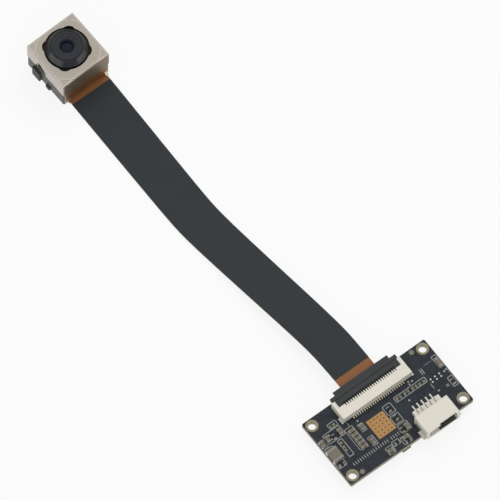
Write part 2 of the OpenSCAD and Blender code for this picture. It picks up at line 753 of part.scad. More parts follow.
// Four upright bars across the can's corners, at a distance from the lens axis
module corner_bars(distance, width) {
    translate([-lens_shift, 0, 0]) for (a = [45:90:315])
        rotate(a) translate([distance, -width / 2, 0]) cube([3, width, 30]);
}

module actuator_base() {
    color([0.11, 0.11, 0.12]) at_head() {
        difference() {
            union() {
                slab(inner_w, inner_w, 0.2, base_z, base_z + base_t);
                // rim that shows between the holder and the can
                slab(holder_w, holder_w, 0.3, base_z, can_z - fit_gap);
            }
            translate([head_w / 2 - can_t - 0.05, -head_w, base_z - E]) cube([1, 2 * head_w, can_lift]);
            translate([-lens_shift, 0, base_z - E]) cylinder(r = barrel_r + 0.12, h = base_t + 2 * E);
        }
        // corner posts that carry the magnets
        intersection() {
            slab(inner_w, inner_w, 0.2, base_z + base_t, magnet_z);
            corner_bars(magnet_at + 0.5, 4);
        }
    }
}

module magnets() {
    color([0.55, 0.55, 0.57]) at_head() intersection() {
        slab(inner_w, inner_w, 0.2, magnet_z, upper_spring_z);
        corner_bars(magnet_at, 4.8);
    }
}

module focus_coil() {
    color([0.7, 0.4, 0.2]) at_lens() ring(coil_r, coil_r + coil_t, magnet_z + 0.15, upper_spring_z - 0.45);
}

module lens_carrier() {
    color([0.13, 0.13, 0.14]) at_lens() {
        ring(carrier_r, coil_r, lower_spring_z + spring_t, upper_spring_z);
        ring(coil_r - E, coil_r + 0.22, magnet_z - 0.1, magnet_z + 0.15);
    }
}

// Leaf spring: a ring on the carrier, a fixed outer ring and four arms
module leaf_spring(z) {
    ring(spring_in_r, spring_mid_r, z, z + spring_t);
    ring(spring_out_r - 0.25, spring_out_r, z, z + spring_t);
    for (a = [0:90:270]) rotate(a) translate([spring_mid_r - 0.1, 0, z])
        cube([spring_out_r - spring_mid_r - 0.05, 0.25, spring_t]);
}

module lower_spring() { color([0.78, 0.66, 0.4]) at_lens() leaf_spring(lower_spring_z); }

module upper_spring() { color([0.78, 0.66, 0.4]) at_lens() leaf_spring(upper_spring_z); }

module upper_frame() {
    color([0.11, 0.11, 0.12]) at_head() difference() {
        slab(inner_w, inner_w, 0.2, upper_spring_z + spring_t, can_top - can_t);
        translate([-lens_shift, 0, upper_spring_z]) cylinder(r = spring_out_r - 0.2, h = 2);
    }
}

// ---------- lens unit ----------

function bore_r(i) = barrel_low_r - wall - (3 - i) * 0.32;
function lens_top(i) = front_z - i * lens_pitch;

module lens_barrel() {
    top = barrel_top;
    color([0.09, 0.09, 0.11]) at_lens() rotate_extrude() polygon([
        [barrel_low_r, barrel_low], [barrel_low_r, base_z + base_t], [barrel_r, base_z + base_t + 0.3],
        [barrel_r, top - 1.35], [barrel_r - 0.12, top - 1.2], [barrel_r - 0.55, top - 0.45],
        [barrel_r - 0.72, top - 0.12], [barrel_r - 0.8, top], [3.06, top], [3.06, top - 0.14],
        [2.92, top - 0.14], [2.92, top - 0.02], [2.35, top - 0.05], [2.3, top - 0.13],
        [1.85, top - 0.17], [1.8, top - 0.26], [1.45, top - 0.3], [1.2, front_z + 0.15], [1.2, front_z],
        [bore_r(0), front_z], [bore_r(0), lens_top(1)], [bore_r(1), lens_top(1)],
        [bore_r(1), lens_top(2)], [bore_r(2), lens_top(2)], [bore_r(2), lens_top(3)],
        [bore_r(3), lens_top(3)], [bore_r(3), barrel_low]
    ]);
}

// Lens with a flat rim and two curved faces; a positive sag bulges outwards
module lens(i, clear_r, sag_top, sag_low) {
    rim = bore_r(i) - fit_gap;
    top = lens_top(i);
    low = top - lens_t;
    steps = [0:0.125:1];
    rotate_extrude() polygon(concat(
        [for (t = steps) [clear_r * t, top + sag_top * (1 - t * t)]],
        [[rim, top], [rim, low]],
        [for (t = [1:-0.125:0]) [clear_r * t, low - sag_low * (1 - t * t)]]
    ));
}

module front_lens() { color([0.3, 0.35, 0.5, 0.5]) at_lens() lens(0, 1.15, 0.3, -0.15); }

module second_lens() { color([0.6, 0.7, 0.75, 0.5]) at_lens() lens(1, 1.5, -0.2, 0.12); }

module third_lens() { color([0.6, 0.7, 0.75, 0.5]) at_lens() lens(2, 1.8, -0.15, 0.12); }

module rear_lens() { color([0.6, 0.7, 0.75, 0.5]) at_lens() lens(3, 2.1, -0.25, -0.2); }

module lens_spacers() {
    color([0.08, 0.08, 0.08]) at_lens() for (i = [0:2])
        ring(bore_r(i) - 0.45, bore_r(i) - fit_gap, lens_top(i + 1), lens_top(i) - lens_t);
}

module lens_retainer() {
    low = lens_top(3) - lens_t;
    color([0.08, 0.08, 0.08]) at_lens() ring(bore_r(3) - 0.5, bore_r(3) - fit_gap, low - 0.4, low);
}

circuit_board();
hole_plating();
thermal_pad();
solder_pads();
large_chip_bodies();
large_chip_ends();
small_chip_bodies();
small_chip_ends();
inductor_body();
inductor_ends();
ferrite_bead_body();
ferrite_bead_ends();
processor();
processor_leads();
memory_chip();
memory_leads();
crystal();
underside_inductors();
underside_chip_bodies();
underside_chip_ends();
ribbon_socket_housing();
ribbon_socket_latch();
ribbon_socket_contacts();
ribbon_socket_tabs();
wire_socket_housing();
wire_socket_pins();
wire_socket_tabs();
ribbon_core();
ribbon_top_film();
ribbon_bottom_film();
ribbon_stiffener();
ribbon_fingers();
head_plate();
sensor_substrate();
image_sensor();
sensor_holder();
infrared_filter();
shield_can();
can_solder();
coil_terminals();
actuator_base();
magnets();
focus_coil();
lens_carrier();
lower_spring();
upper_spring();
upper_frame();
lens_barrel();
front_lens();
second_lens();
third_lens();
rear_lens();
lens_spacers();
lens_retainer();
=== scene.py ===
"""Looks of an autofocus camera module: finishes, legend, solder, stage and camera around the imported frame."""
from __future__ import annotations

import logging
import math
from contextlib import contextmanager
from dataclasses import dataclass, field
from enum import Enum
from typing import ClassVar, Iterable, Iterator, Sequence, Union

import bpy  # noqa: E402
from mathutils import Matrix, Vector  # noqa: E402


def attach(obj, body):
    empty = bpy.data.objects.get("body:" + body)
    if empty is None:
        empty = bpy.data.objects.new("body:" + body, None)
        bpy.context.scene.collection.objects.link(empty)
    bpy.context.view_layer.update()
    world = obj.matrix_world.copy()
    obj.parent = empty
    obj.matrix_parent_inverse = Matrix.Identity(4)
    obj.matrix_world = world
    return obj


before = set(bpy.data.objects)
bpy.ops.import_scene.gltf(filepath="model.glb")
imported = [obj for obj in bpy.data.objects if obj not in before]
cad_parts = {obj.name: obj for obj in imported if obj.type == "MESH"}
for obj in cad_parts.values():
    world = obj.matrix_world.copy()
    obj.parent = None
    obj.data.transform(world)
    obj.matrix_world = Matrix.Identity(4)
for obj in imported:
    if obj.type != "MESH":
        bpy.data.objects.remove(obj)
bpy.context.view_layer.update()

log = logging.getLogger("camera_module")
MM = 0.001
WHITE = (1.0, 1.0, 1.0)
WELD_MM = 0.0005
SMOOTH, SOFT, ROUGH, FINE = 1.0, 2.0, 3.0, 4.0  # octaves of noise
NOISE_FADE = 0.6
Pair = tuple[float, float]
Triple = tuple[float, float, float]
Colour = tuple[float, float, float]
Feed = Union[float, int, tuple, "Value"]


class Value:
    """A shader socket that takes part in ordinary sums."""

    def __init__(self, paint: Paint, socket: bpy.types.NodeSocket) -> None:
        """Keep the socket and the tree that it belongs to."""
        self.paint = paint
        self.socket = socket

    def _math(self, operation: str, other: Feed = 0.0, flipped: bool = False) -> Value:
        """Add one Math node.

        Args:
            operation: The Math node's operation.
            other: The second number or link.
            flipped: Whether the other value comes first.

        Returns:
            The node's result.
        """
        pair = (other, self) if flipped else (self, other)
        return self.paint.node("ShaderNodeMath", {"operation": operation}, {0: pair[0], 1: pair[1]})

    def __add__(self, other: Feed) -> Value:
        """Sum."""
        return self._math("ADD", other)

    __radd__ = __add__

    def __sub__(self, other: Feed) -> Value:
        """Difference."""
        return self._math("SUBTRACT", other)

    def __rsub__(self, other: Feed) -> Value:
        """Difference, the other way round."""
        return self._math("SUBTRACT", other, flipped=True)

    def __mul__(self, other: Feed) -> Value:
        """Product."""
        return self._math("MULTIPLY", other)

    __rmul__ = __mul__

    def __truediv__(self, other: Feed) -> Value:
        """Quotient."""
        return self._math("DIVIDE", other)

    def absolute(self) -> Value:
        """Size without its sign."""
        return self._math("ABSOLUTE")

    def most(self, other: Feed) -> Value:
        """The larger of the two."""
        return self._math("MAXIMUM", other)

    def least(self, other: Feed) -> Value:
        """The smaller of the two."""
        return self._math("MINIMUM", other)

    def clamped(self) -> Value:
        """The value held between 0 and 1."""
        return self.most(0.0).least(1.0)

    def swing(self, amount: float) -> Value:
        """Noise from 0 to 1 made to swing either way about 0."""
        return (self - 0.5) * amount

    def above(self, level: float) -> Value:
        """1 where the value is above the level, else 0."""
        return self._math("GREATER_THAN", level)

    def between(self, low: float, high: float) -> Value:
        """1 where the value lies between two levels, else 0."""
        return self.above(low) * (self * -1.0).above(-high)

    def cycle(self, length: float) -> Value:
        """Distance from the middle of a repeating step, 0 to half its length."""
        return self._math("PINGPONG", length / 2)


class Paint:
    """The node tree of a material or a world, built one node at a time."""

    def __init__(self, owner: bpy.types.Material | bpy.types.World) -> None:
        """Empty the owner's tree.

        Args:
            owner: The material or world that is painted.
        """
        owner.use_nodes = True
        self.owner = owner
        self.tree = owner.node_tree
        self.tree.nodes.clear()

    def node(self, kind: str, settings: dict | None = None, feeds: dict | None = None,
             output: int | str = 0) -> Value:
        """Add one node.

        Args:
            kind: The node's type.
            settings: Its settings.
            feeds: Numbers, tuples or links by socket index or name.
            output: The output that is wanted.

        Returns:
            That output.
        """
        made = self.tree.nodes.new(kind)
        for key, value in (settings or {}).items():
            setattr(made, key, value)
        for key, feed in (feeds or {}).items():
            socket = made.inputs[key]
            if isinstance(feed, Value):
                self.tree.links.new(feed.socket, socket)
            elif isinstance(feed, tuple) and len(feed) == 3 and socket.type == "RGBA":
                socket.default_value = (*feed, 1.0)
            else:
                socket.default_value = feed
        return Value(self, made.outputs[output])

    def place(self, stretch: Triple = (1, 1, 1), turn: float = 0.0) -> Value:
        """Object coordinates in millimetres.

        Args:
            stretch: Further scale on each axis.
            turn: Turn about Z in radians.

        Returns:
            The coordinates.
        """
        raw = self.node("ShaderNodeTexCoord", output="Object")
        return self.node("ShaderNodeMapping", {}, {
            "Vector": raw, "Rotation": (0.0, 0.0, turn), "Scale": tuple(s / MM for s in stretch)})

    def noise(self, size: float, detail: float = ROUGH, stretch: Triple = (1, 1, 1), turn: float = 0.0) -> Value:
        """Noise from 0 to 1.

        Args:
            size: Size of a patch in mm.
            detail: Octaves.
            stretch: Scale on each axis.
            turn: Turn about Z in radians.

        Returns:
            The noise.
        """
        return self.node("ShaderNodeTexNoise", {}, {
            "Vector": self.place(stretch, turn), "Scale": 1.0 / size, "Detail": detail,
            "Roughness": NOISE_FADE})

    def blend(self, factor: Feed, low: Feed, high: Feed) -> Value:
        """Mix two colours by a factor."""
        return self.node("ShaderNodeMix", {"data_type": "RGBA"}, {0: factor, 6: low, 7: high}, 2)

    def axes(self, coordinates: Value | None = None) -> tuple[Value, Value, Value]:
        """Split coordinates into X, Y and Z.

        Args:
            coordinates: What to split, or nothing for the object's own in mm.

        Returns:
            The three numbers.
        """
        made = self.node("ShaderNodeSeparateXYZ", {}, {0: coordinates or self.place()}).socket.node
        return Value(self, made.outputs[0]), Value(self, made.outputs[1]), Value(self, made.outputs[2])

    def facing(self) -> Value:
        """The way that the surface faces."""
        return self.node("ShaderNodeNewGeometry", output="Normal")

    def radius(self, axis: Pair) -> Value:
        """Distance in mm from an upright axis.

        Args:
            axis: X and Y of the axis in mm.

        Returns:
            The distance.
        """
        along, across, _ = self.axes()
        flat = self.node("ShaderNodeCombineXYZ", {}, {0: along - axis[0], 1: across - axis[1], 2: 0.0})
        return self.node("ShaderNodeVectorMath", {"operation": "LENGTH"}, {0: flat}, "Value")

    def finish(self, shader: Value) -> None:
        """Send the shader to the owner's output.

        Args:
            shader: The finished shader.
        """
        world = isinstance(self.owner, bpy.types.World)
        out = self.tree.nodes.new("ShaderNodeOutputWorld" if world else "ShaderNodeOutputMaterial")
        self.tree.links.new(shader.socket, out.inputs[0])


def toned(colour: Colour, gain: float, lift: float = 0.0) -> Colour:
    """A colour made darker or lighter.

    Args:
        colour: The colour.
        gain: What each part is multiplied by.
        lift: What is then added.

    Returns:
        The new colour, no part of it above 1.
    """
    return tuple(min(1.0, c * gain + lift) for c in colour)


@dataclass
class Skin:
    """What varies over a surface while its finish is being built."""

    paint: Paint
    colour: Value
    relief: Value
    rough: Value


@dataclass(frozen=True)
class Pattern:
    """Plain moulded surface, which adds nothing. The other patterns build on it.

    Sizes are in mm and angles in radians.
    """

    def apply(self, finish: Finish, skin: Skin) -> Skin:
        """Leave the skin as it is."""
        return skin

    def gloss(self, paint: Paint) -> Feed:
        """Coat weight: none."""
        return 0.0


@dataclass(frozen=True)
class Brushed(Pattern):
    """Fine lines along one direction and a few darker spots."""

    turn: float = 0.0
    line: float = 0.5
    line_detail: float = FINE
    stretch: Triple = (0.35, 9.0, 0.35)
    line_dark: float = 0.25
    line_rough: float = 0.2
    spot: float = 0.45
    spot_from: float = 0.68
    spot_dark: float = 0.16
    shade: float = 0.74
    grain: float = 0.5

    def apply(self, finish: Finish, skin: Skin) -> Skin:
        """Draw the lines and spots.

        Args:
            finish: The finish they belong to.
            skin: The skin so far.

        Returns:
            The brushed skin.
        """
        paint = skin.paint
        lines = paint.noise(self.line, self.line_detail, self.stretch, self.turn)
        spots = paint.noise(self.spot, SOFT).above(self.spot_from)
        dark = spots * self.spot_dark + lines * self.line_dark
        return Skin(paint, paint.blend(dark, skin.colour, toned(finish.colour, self.shade)),
                    skin.relief * self.grain + lines, skin.rough + lines.swing(self.line_rough))


@dataclass(frozen=True)
class Stamped(Brushed):
    """Drawn sheet: brushing, a pressed circle that crosses the lid's corners with painted shade in it and a
    painted highlight beside it, and painted reflections of the ribbon on the side that faces it.
    """

    turn: float = 0.6
    centre: Pair = (-92.1, -4.8)
    wander_size: float = 1.4
    wander: float = 0.5
    lid_from: float = 0.6
    crease_r: float = 6.1
    crease_half: float = 0.07
    crease_shade_mix: float = 0.75
    crease_depth: float = 1.5
    crease_shade_colour: Colour = (0.10, 0.085, 0.06)
    glint_r: float = 5.98
    glint_half: float = 0.05
    glint_mix: float = 0.6
    glint_colour: Colour = (0.85, 0.82, 0.74)
    side_from: float = 0.7
    reflection_size: float = 0.7
    reflection_least: float = 0.75
    reflection_spread: float = 0.5
    reflection_rough: float = 0.3
    reflection_colour: Colour = (0.26, 0.20, 0.145)
    amber_reflection_colour: Colour = (0.34, 0.15, 0.06)
    amber_reflection_below: float = 2.35
    amber_reflection_fade: float = 2.5
    amber_reflection_half: float = 4.85
    amber_reflection_half_fade: float = 4.0
    ragged_size: float = 0.8
    ragged: float = 0.7

    def ring(self, distance: Value, radius: float, half: float) -> Value:
        """1 on a thin ring, else 0.

        Args:
            distance: Distance from the ring's middle.
            radius: The ring's radius.
            half: Half its width.

        Returns:
            The mask.
        """
        return 1.0 - (distance - radius).absolute().above(half)

    def apply(self, finish: Finish, skin: Skin) -> Skin:
        """Brush the sheet, press the circle with its painted shade and highlight, then paint the ribbon's
        reflections on the side.

        Args:
            finish: The finish it belongs to.
            skin: The skin so far.

        Returns:
            The stamped skin.
        """
        skin = super().apply(finish, skin)
        paint = skin.paint
        wander = paint.radius(self.centre) + paint.noise(self.wander_size, SMOOTH).swing(self.wander)
        facing_x, _, facing_z = paint.axes(paint.facing())
        lid = facing_z.above(self.lid_from)
        crease = lid * self.ring(wander, self.crease_r, self.crease_half)
        glint = lid * self.ring(wander, self.glint_r, self.glint_half)
        # Painted shade in the pressed ring; its dent in the relief is real.
        shade = paint.blend(crease * self.crease_shade_mix, skin.colour, self.crease_shade_colour)
        # Painted highlight: a pale ring just inside the pressed one.
        shade = paint.blend(glint * self.glint_mix, shade, self.glint_colour)
        # Painted reflection of the ribbon: brown on the side of the can that faces it.
        cloud = self.reflection_least + paint.noise(self.reflection_size) * self.reflection_spread
        side_reflection = facing_x.above(self.side_from) * cloud.least(1.0)
        # Painted reflection of the amber strip: amber low on that side, kept off the corners.
        _, across, height = paint.axes()
        edge = height + paint.noise(self.ragged_size, SOFT).swing(self.ragged)
        off_middle = (across - self.centre[1]).absolute()
        amber_reflection = (((self.amber_reflection_below - edge) * self.amber_reflection_fade).clamped()
                * ((self.amber_reflection_half - off_middle) * self.amber_reflection_half_fade).clamped())
        shade = paint.blend(side_reflection, shade, paint.blend(amber_reflection, self.reflection_colour, self.amber_reflection_colour))
        return Skin(paint, shade, skin.relief - crease * self.crease_depth, skin.rough + side_reflection * self.reflection_rough)


@dataclass(frozen=True)
class Speckled(Pattern):
    """Small flecks of the second colour."""

    fleck: float = 0.22
    fleck_from: float = 0.58
    fleck_mix: float = 0.5
    fleck_rough: float = 0.1

    def apply(self, finish: Finish, skin: Skin) -> Skin:
        """Scatter the flecks.

        Args:
            finish: The finish they belong to.
            skin: The skin so far.

        Returns:
            The speckled skin.
        """
        flecks = skin.paint.noise(self.fleck).above(self.fleck_from)
        return Skin(skin.paint, skin.paint.blend(flecks * self.fleck_mix, skin.colour, finish.second),
                    skin.relief, skin.rough + flecks * self.fleck_rough)


@dataclass(frozen=True)
class Film(Pattern):
    """Woven film: pale threads over slow clouds of the second colour."""

    thread: float = 0.55
    thread_from: float = 0.55
    thread_mix: float = 0.16
    thread_light: float = 1.5
    cloud: float = 14.0

    def apply(self, finish: Finish, skin: Skin) -> Skin:
        """Lay clouds, then threads.

        Args:
            finish: The finish they belong to.
            skin: The skin so far.

        Returns:
            The woven skin.
        """
        paint = skin.paint
        threads = paint.noise(self.thread, FINE).above(self.thread_from)
        shade = paint.blend(paint.noise(self.cloud, SOFT), skin.colour, finish.second)
        light = paint.blend(threads * self.thread_mix, shade, toned(finish.colour, self.thread_light))
        return Skin(paint, light, skin.relief, skin.rough)


@dataclass(frozen=True)
class Banded(Pattern):
    """Even lines along X in the second colour, as of tracks or windings."""

    step: float = 0.3
    line_from: float = 0.095
    line_mix: float = 0.55
    grain: float = 0.4

    def apply(self, finish: Finish, skin: Skin) -> Skin:
        """Draw the lines.

        Args:
            finish: The finish they belong to.
            skin: The skin so far.

        Returns:
            The banded skin.
        """
        lines = skin.paint.axes()[1].cycle(self.step).above(self.line_from)
        return Skin(skin.paint, skin.paint.blend(lines * self.line_mix, skin.colour, finish.second),
                    skin.relief * self.grain + lines, skin.rough)


@dataclass(frozen=True)
class Turned(Pattern):
    """Fine rings on the front, and a flank with two broad bands of painted highlight, made by a raised coat
    weight.
    """

    axis: Pair = (-92.4, -4.81)
    ring_step: float = 0.34
    ring_from: float = 0.135
    ring_mix: float = 0.4
    base_mix: float = 0.2
    flank_r: float = 3.12
    grain: float = 0.5
    swell: float = 0.9
    swell_from: float = 0.52
    swell_rough: float = -0.08
    highlight_angles: Pair = (math.radians(-75.0), math.radians(14.0))
    highlight_from: float = 0.86
    highlight_fade: float = 12.0
    highlight_r: float = 3.25
    patch: float = 0.8
    patch_mix: float = 0.6

    def apply(self, finish: Finish, skin: Skin) -> Skin:
        """Draw the rings.

        Args:
            finish: The finish they belong to.
            skin: The skin so far.

        Returns:
            The turned skin.
        """
        paint = skin.paint
        radius = paint.radius(self.axis)
        rings = radius.cycle(self.ring_step).above(self.ring_from)
        front = 1.0 - radius.above(self.flank_r)
        swells = paint.noise(self.swell, SOFT).above(self.swell_from)
        ringed = paint.blend((rings * self.ring_mix + self.base_mix) * front, skin.colour, finish.second)
        return Skin(paint, ringed, skin.relief * self.grain + rings * front,
                    skin.rough + swells * self.swell_rough)

    def gloss(self, paint: Paint) -> Feed:
        """Coat weight, raised on two fixed bands of the flank as a painted highlight.

        Args:
            paint: The material under way.

        Returns:
            The weight.
        """
        radius = paint.radius(self.axis)
        along, across, _ = paint.axes()
        highlight_bands: Feed = 0.0
        # Painted highlight: the coat is raised in two bands at fixed angles round the axis, in place of
        # reflections of soft lamps.
        for angle in self.highlight_angles:
            reach = (along - self.axis[0]) * math.cos(angle) + (across - self.axis[1]) * math.sin(angle)
            highlight_bands = ((reach / radius - self.highlight_from) * self.highlight_fade).clamped() + highlight_bands
        patches = self.patch_mix + paint.noise(self.patch, SOFT) * self.patch_mix
        return highlight_bands * radius.above(self.highlight_r) * patches.least(1.0)


@dataclass(frozen=True)
class Hollow(Pattern):
    """A mouth with painted shade inside."""

    mouth: tuple[Pair, Pair, Pair] = ((5.2, 9.5), (5.45, 9.35), (1.45, 3.42))
    dark_mix: float = 0.93
    dark: Colour = (0.02, 0.019, 0.017)

    def apply(self, finish: Finish, skin: Skin) -> Skin:
        """Paint shade inside the mouth.

        Args:
            finish: The finish it belongs to; not used here.
            skin: The skin so far.

        Returns:
            The skin with painted shade in the mouth.
        """
        inside: Feed = 1.0
        for axis, (low, high) in zip(skin.paint.axes(), self.mouth):
            inside = axis.between(low, high) * inside
        # Painted shade: the inside of the mouth is blended to near black.
        shade = skin.paint.blend(inside * self.dark_mix, skin.colour, self.dark)
        return Skin(skin.paint, shade, skin.relief, skin.rough)


@dataclass(frozen=True)
class Clipped(Pattern):
    """Darker clips that stand out past one side of the head."""

    turn: float = math.radians(-1.9)
    side: float = -7.2
    dark_mix: float = 0.8
    dark: Colour = (0.02, 0.02, 0.021)

    def apply(self, finish: Finish, skin: Skin) -> Skin:
        """Darken what stands out.

        Args:
            finish: The finish it belongs to; not used here.
            skin: The skin so far.

        Returns:
            The clipped skin.
        """
        paint = skin.paint
        across = paint.axes(paint.place(turn=self.turn))[1]
        outside = (-1.0 * (across - self.side)).above(0.0)
        return Skin(paint, paint.blend(outside * self.dark_mix, skin.colour, self.dark), skin.relief, skin.rough)


@dataclass(frozen=True)
class Marked(Pattern):
    """Chips that are olive in one strip of the board."""

    strip: Pair = (2.4, 7.8)
    olive_mix: float = 0.8
    olive: Colour = (0.12, 0.115, 0.085)

    def apply(self, finish: Finish, skin: Skin) -> Skin:
        """Colour the strip.

        Args:
            finish: The finish it belongs to; not used here.
            skin: The skin so far.

        Returns:
            The marked skin.
        """
        olive = skin.paint.axes()[1].between(*self.strip)
        return Skin(skin.paint, skin.paint.blend(olive * self.olive_mix, skin.colour, self.olive),
                    skin.relief, skin.rough)


@dataclass(frozen=True)
class Traced(Pattern):
    """Copper tracks that show faintly through a solder mask, and a bare laminate edge."""

    step: float = 0.36
    track_from: float = 0.1
    track_mix: float = 0.4
    track_rough: float = -0.05
    grain: float = 0.3
    fields: Pair = (2.6, 3.1)
    field_turn: float = 0.8
    along_from: float = 0.56
    across_from: float = 0.53
    slant_from: float = 0.57
    slant: float = math.pi / 4
    fibre: float = 0.3
    fibre_dark: Colour = (0.2, 0.19, 0.12)
    fibre_light: Colour = (0.33, 0.31, 0.2)
    flat_from: float = 0.5

    def tracks(self, paint: Paint) -> Value:
        """Mask of the tracks, which run along, across and slantwise in separate fields.

        Args:
            paint: The material under way.

        Returns:
            1 on a track, else 0.
        """
        along, across, _ = paint.axes()
        slanting = paint.axes(paint.place(turn=self.slant))[0]
        first = paint.noise(self.fields[0], SMOOTH)
        second = paint.noise(self.fields[1], SMOOTH, turn=self.field_turn)
        areas = ((across, first.above(self.across_from)), (along, second.above(self.along_from)),
                 (slanting, (1.0 - first).above(self.slant_from)))
        lines = [way.cycle(self.step).above(self.track_from) * area for way, area in areas]
        return lines[0].most(lines[1]).most(lines[2])

    def apply(self, finish: Finish, skin: Skin) -> Skin:
        """Draw the tracks on the faces and the laminate on the edges.

        Args:
            finish: The finish they belong to.
            skin: The skin so far.

        Returns:
            The traced skin.
        """
        paint = skin.paint
        tracks = self.tracks(paint)
        masked = paint.blend(tracks * self.track_mix, skin.colour, finish.second)
        laminate = paint.blend(paint.noise(self.fibre), self.fibre_dark, self.fibre_light)
        flat = paint.axes(paint.facing())[2].absolute().above(self.flat_from)
        return Skin(paint, paint.blend(flat, laminate, masked),
                    skin.relief * self.grain + tracks, skin.rough + tracks * self.track_rough)


class Surface(Enum):
    """The way a finish varies over its surface."""

    MOULDED = Pattern()
    BRUSHED = Brushed()
    STAMPED = Stamped()
    SPECKLED = Speckled()
    FILM = Film()
    BANDED = Banded()
    TURNED = Turned()
    HOLLOW = Hollow()
    CLIPPED = Clipped()
    MARKED = Marked()
    TRACED = Traced()


@dataclass(frozen=True)
class Finish:
    """One finish: its colour, gloss and how both vary."""

    name: str
    slot: str
    colour: Colour
    roughness: float = 0.45
    metallic: float = 0.0
    surface: Surface = Surface.MOULDED
    mottle: float = 0.12
    mottle_mm: float = 1.6
    grain_mm: float = 0.12
    grain_depth: float = 0.25
    edge_mm: float = 0.05
    edge_light: float = 0.0
    alpha: float = 1.0
    second: Colour = (0.0, 0.0, 0.0)
    specular: float = 0.5

    MOTTLE_SHARE = 0.7
    GRAIN_SHARE = 0.3
    ROUGH_SWING = 0.16
    LEAST_ROUGH = 0.04
    COAT_ROUGH = 0.15
    RELIEF_MM = 0.02
    BEVEL_RAYS = 4
    EDGE_HIGHLIGHT_REACH = 9.0
    EDGE_HIGHLIGHT_GAIN = 1.5
    EDGE_HIGHLIGHT_LIFT = 0.12

    def skin(self, paint: Paint) -> Skin:
        """Mottle and grain, with the surface's own pattern over them.

        Args:
            paint: The material under way.

        Returns:
            The skin.
        """
        broad = paint.noise(self.mottle_mm)
        fine = paint.noise(self.grain_mm, SOFT)
        colour = paint.blend(broad * self.MOTTLE_SHARE + fine * self.GRAIN_SHARE,
                             toned(self.colour, 1 - self.mottle), toned(self.colour, 1 + self.mottle))
        plain = Skin(paint, colour, fine, self.roughness + broad.swing(self.ROUGH_SWING))
        return self.surface.value.apply(self, plain)

    def lit_edges(self, skin: Skin, rounded: Value) -> Value:
        """Paint a highlight on the edges, where the rounded normal leaves the plain one.

        Args:
            skin: The finished skin.
            rounded: The rounded normal.

        Returns:
            The colour.
        """
        feeds = {0: rounded, 1: skin.paint.facing()}
        match = skin.paint.node("ShaderNodeVectorMath", {"operation": "DOT_PRODUCT"}, feeds, "Value")
        # Painted highlight: the edges are lightened where the rounded normal leaves the plain one.
        wear = ((1.0 - match) * self.EDGE_HIGHLIGHT_REACH).least(1.0) * self.edge_light
        return skin.paint.blend(wear, skin.colour, toned(self.colour, self.EDGE_HIGHLIGHT_GAIN, self.EDGE_HIGHLIGHT_LIFT))

    def material(self) -> bpy.types.Material:
        """Build the material.

        Returns:
            The finished material.
        """
        paint = Paint(bpy.data.materials.new(self.name))
        skin = self.skin(paint)
        rounded = paint.node("ShaderNodeBevel", {"samples": self.BEVEL_RAYS}, {"Radius": self.edge_mm * MM})
        colour = self.lit_edges(skin, rounded) if self.edge_light else skin.colour
        normal = paint.node("ShaderNodeBump", {}, {
            "Strength": self.grain_depth, "Distance": self.RELIEF_MM * MM, "Height": skin.relief,
            "Normal": rounded})
        paint.finish(paint.node("ShaderNodeBsdfPrincipled", {}, {
            "Base Color": colour, "Roughness": skin.rough.most(self.LEAST_ROUGH).least(1.0),
            "Metallic": self.metallic, "Normal": normal, "Coat Weight": self.surface.value.gloss(paint),
            "Coat Roughness": self.COAT_ROUGH, "Alpha": self.alpha, "Specular IOR Level": self.specular}))
        return paint.owner


BOARD = Finish("solder_mask", "board_black", (0.016, 0.020, 0.026), 0.42, surface=Surface.TRACED,
               mottle=0.3, mottle_mm=0.7, second=(0.045, 0.052, 0.066), edge_mm=0.06, specular=0.25)
GOLD = Finish("pad_gold", "plated_gold", (0.44, 0.245, 0.095), 0.45, 0.3, mottle=0.14, mottle_mm=0.5,
              specular=0.3)
RING = Finish("ring_plating", "tin", (0.27, 0.235, 0.15), 0.4, 0.4, mottle=0.35, mottle_mm=0.5)
TIN = Finish("tin_plating", "tin", (0.26, 0.25, 0.22), 0.38, 0.7, mottle=0.35, mottle_mm=0.3, grain_depth=0.4)
OLIVE = Finish("pad_tin", "tin", (0.20, 0.18, 0.13), 0.42, 0.35, mottle=0.35, mottle_mm=0.4, grain_depth=0.4)
BRIGHT = Finish("tail_plating", "tin", (0.62, 0.60, 0.54), 0.3, 0.75, mottle=0.2, mottle_mm=0.35,
                grain_depth=0.3)
BEIGE = Finish("chip_beige", "chip_beige", (0.165, 0.145, 0.105), 0.5, mottle=0.25, mottle_mm=0.35,
               specular=0.3)
BLACK_CHIP = Finish("chip_black", "chip_black", (0.014, 0.014, 0.016), 0.5, surface=Surface.MARKED,
                    specular=0.25)
FERRITE = Finish("ferrite_grey", "chip_grey", (0.20, 0.17, 0.135), 0.55, mottle=0.16, mottle_mm=0.8,
                 specular=0.3)
CREAM = Finish("socket_cream", "socket_cream", (0.77, 0.735, 0.645), 0.42, surface=Surface.HOLLOW,
               mottle=0.05, mottle_mm=1.2, grain_depth=0.12, specular=0.4)
LATCH = Finish("latch_black", "latch_black", (0.037, 0.039, 0.040), 0.45, surface=Surface.SPECKLED,
               second=(0.05, 0.05, 0.058), specular=0.3)
CONTACT = Finish("contact_gold", "contact_gold", (0.62, 0.56, 0.44), 0.3, 0.8, mottle=0.12, mottle_mm=0.4)
AMBER = Finish("polyimide", "polyimide", (0.235, 0.096, 0.036), 0.4, surface=Surface.BANDED,
               second=(0.29, 0.125, 0.046), mottle=0.2, mottle_mm=0.8, specular=0.3)
FILM = Finish("cover_film", "film_black", (0.024, 0.029, 0.033), 0.6, surface=Surface.FILM,
              second=(0.030, 0.035, 0.037), mottle=0.28, mottle_mm=0.35, grain_mm=0.16, grain_depth=0.6,
              specular=0.25)
NICKEL = Finish("can_nickel", "can_nickel", (0.43, 0.39, 0.335), 0.24, 0.95, surface=Surface.STAMPED,
                mottle=0.06, edge_mm=0.2, edge_light=1.0)
